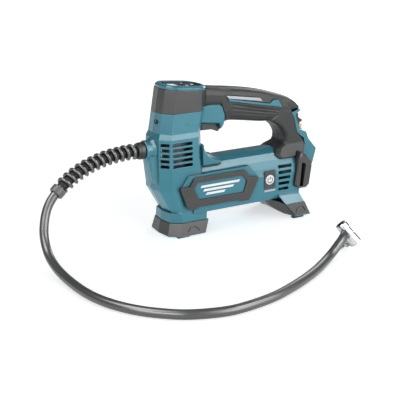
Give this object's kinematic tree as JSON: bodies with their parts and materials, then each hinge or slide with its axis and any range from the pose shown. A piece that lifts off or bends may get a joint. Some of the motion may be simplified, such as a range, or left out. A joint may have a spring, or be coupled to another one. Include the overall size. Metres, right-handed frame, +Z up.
{
  "type": "cordless air inflator",
  "caption": "Cordless hand-held piston inflator with a D-handle, sloping display head, splayed feet, rear battery rail and an air hose ending in a lever valve chuck.",
  "frame": {"origin": "middle of the body's footprint on the table, hose not counted", "axes": "+X from the hose end to the battery end, +Y to the tool's right side, +Z up"},
  "size_m": [0.3716, 0.2837, 0.1766],
  "materials": {
    "teal_plastic": "fine satin moulding, slight gloss",
    "dark_elastomer": "fine-textured soft-touch overmould",
    "grey_plastic": "matt moulding",
    "black_plastic": "satin moulding",
    "white_plastic": "smooth",
    "silver_trim": "satin silver",
    "clear_lens": "clear moulded lens",
    "hose_rubber": "smooth with fine lengthwise lines",
    "chrome": "plated",
    "steel": "turned",
    "cast_metal": "as cast",
    "brass": "machined",
    "circuit_board": "solder mask"
  },
  "bodies": {
    "housing": {"housing_left": "teal_plastic", "housing_right": "teal_plastic", "stripe_left": "teal_plastic", "stripe_right": "teal_plastic", "display_bezel": "teal_plastic", "name_plate_left": "teal_plastic", "name_plate_right": "teal_plastic", "battery_rail": "teal_plastic", "grip_left": "dark_elastomer", "grip_right": "dark_elastomer", "head_band": "dark_elastomer", "front_foot": "dark_elastomer", "rear_foot": "dark_elastomer", "guard_left": "dark_elastomer", "guard_right": "dark_elastomer", "foot_pad_1": "dark_elastomer", "foot_pad_2": "dark_elastomer", "foot_pad_3": "dark_elastomer", "foot_pad_4": "dark_elastomer", "badge_frame_left": "grey_plastic", "badge_frame_right": "grey_plastic", "power_plate": "grey_plastic", "sleeve_collar": "grey_plastic", "display_panel": "black_plastic", "terminal_block": "black_plastic", "trigger_switch": "black_plastic", "hose_gland": "black_plastic", "hose_sleeve": "black_plastic", "chuck_seal": "black_plastic", "lcd_window": "white_plastic", "trim_left": "silver_trim", "trim_right": "silver_trim", "lamp_lens": "clear_lens", "hose": "hose_rubber", "chuck_body": "chrome", "lever_pin": "chrome", "housing_screw_1": "steel", "housing_screw_2": "steel", "housing_screw_3": "steel", "trigger_spring": "steel", "motor_can": "cast_metal", "crank_block": "cast_metal", "cylinder": "cast_metal", "cylinder_head": "cast_metal", "contact_blade_1": "brass", "contact_blade_2": "brass", "hose_fitting": "brass", "air_tube": "brass", "display_board": "circuit_board"},
    "motor_rotor": {"motor_shaft": "steel", "cooling_fan": "black_plastic"},
    "crank": {"crankshaft": "steel"},
    "rod": {"con_rod": "cast_metal"},
    "piston": {"piston": "cast_metal"},
    "trigger": {"trigger": "dark_elastomer"},
    "power_key": {"power_button": "white_plastic"},
    "plus_key": {"plus_button": "grey_plastic"},
    "minus_key": {"minus_button": "grey_plastic"},
    "unit_key": {"unit_button": "grey_plastic"},
    "lever": {"chuck_lever": "chrome"}
  },
  "joints": [
    {"name": "motor_spin", "type": "hinge", "parent": "housing", "child": "motor_rotor", "pos_m": [-0.0283, 0, 0.059], "axis": [1, 0, 0], "continuous": true},
    {"name": "crank_spin", "type": "hinge", "parent": "housing", "child": "crank", "pos_m": [-0.0673, 0, 0.0425], "axis": [1, 0, 0], "continuous": true},
    {"name": "rod_on_crank_pin", "type": "hinge", "parent": "crank", "child": "rod", "pos_m": [-0.0733, 0, 0.0475], "axis": [1, 0, 0], "continuous": true},
    {"name": "piston_stroke", "type": "slide", "parent": "housing", "child": "piston", "axis": [0, 0, 1], "range_m": [-0.01, 0]},
    {"name": "trigger_pull", "type": "slide", "parent": "housing", "child": "trigger", "axis": [0, 0, 1], "range_m": [0, 0.005], "stiffness_N_per_m": 500, "deforming": ["trigger_spring"]},
    {"name": "power_press", "type": "slide", "parent": "housing", "child": "power_key", "axis": [0, 1, 0], "range_m": [0, 0.0008], "stiffness_N_per_m": 800},
    {"name": "plus_press", "type": "slide", "parent": "housing", "child": "plus_key", "axis": [-0.0995, 0, -0.995], "range_m": [0, 0.0008], "stiffness_N_per_m": 800},
    {"name": "minus_press", "type": "slide", "parent": "housing", "child": "minus_key", "axis": [-0.0995, 0, -0.995], "range_m": [0, 0.0008], "stiffness_N_per_m": 800},
    {"name": "unit_press", "type": "slide", "parent": "housing", "child": "unit_key", "axis": [-0.0995, 0, -0.995], "range_m": [0, 0.0008], "stiffness_N_per_m": 800},
    {"name": "lever_swing", "type": "hinge", "parent": "housing", "child": "lever", "pos_m": [0.05806, -0.15475, 0.00842], "axis": [0.7834, 0.5766, 0.232], "range_deg": [0, 70]}
  ],
  "couplings": [
    {"joint": "crank_spin", "follows": "motor_spin", "ratio": -0.22222},
    {"joint": "rod_on_crank_pin", "follows": "motor_spin", "ratio": 0.22222}
  ]
}
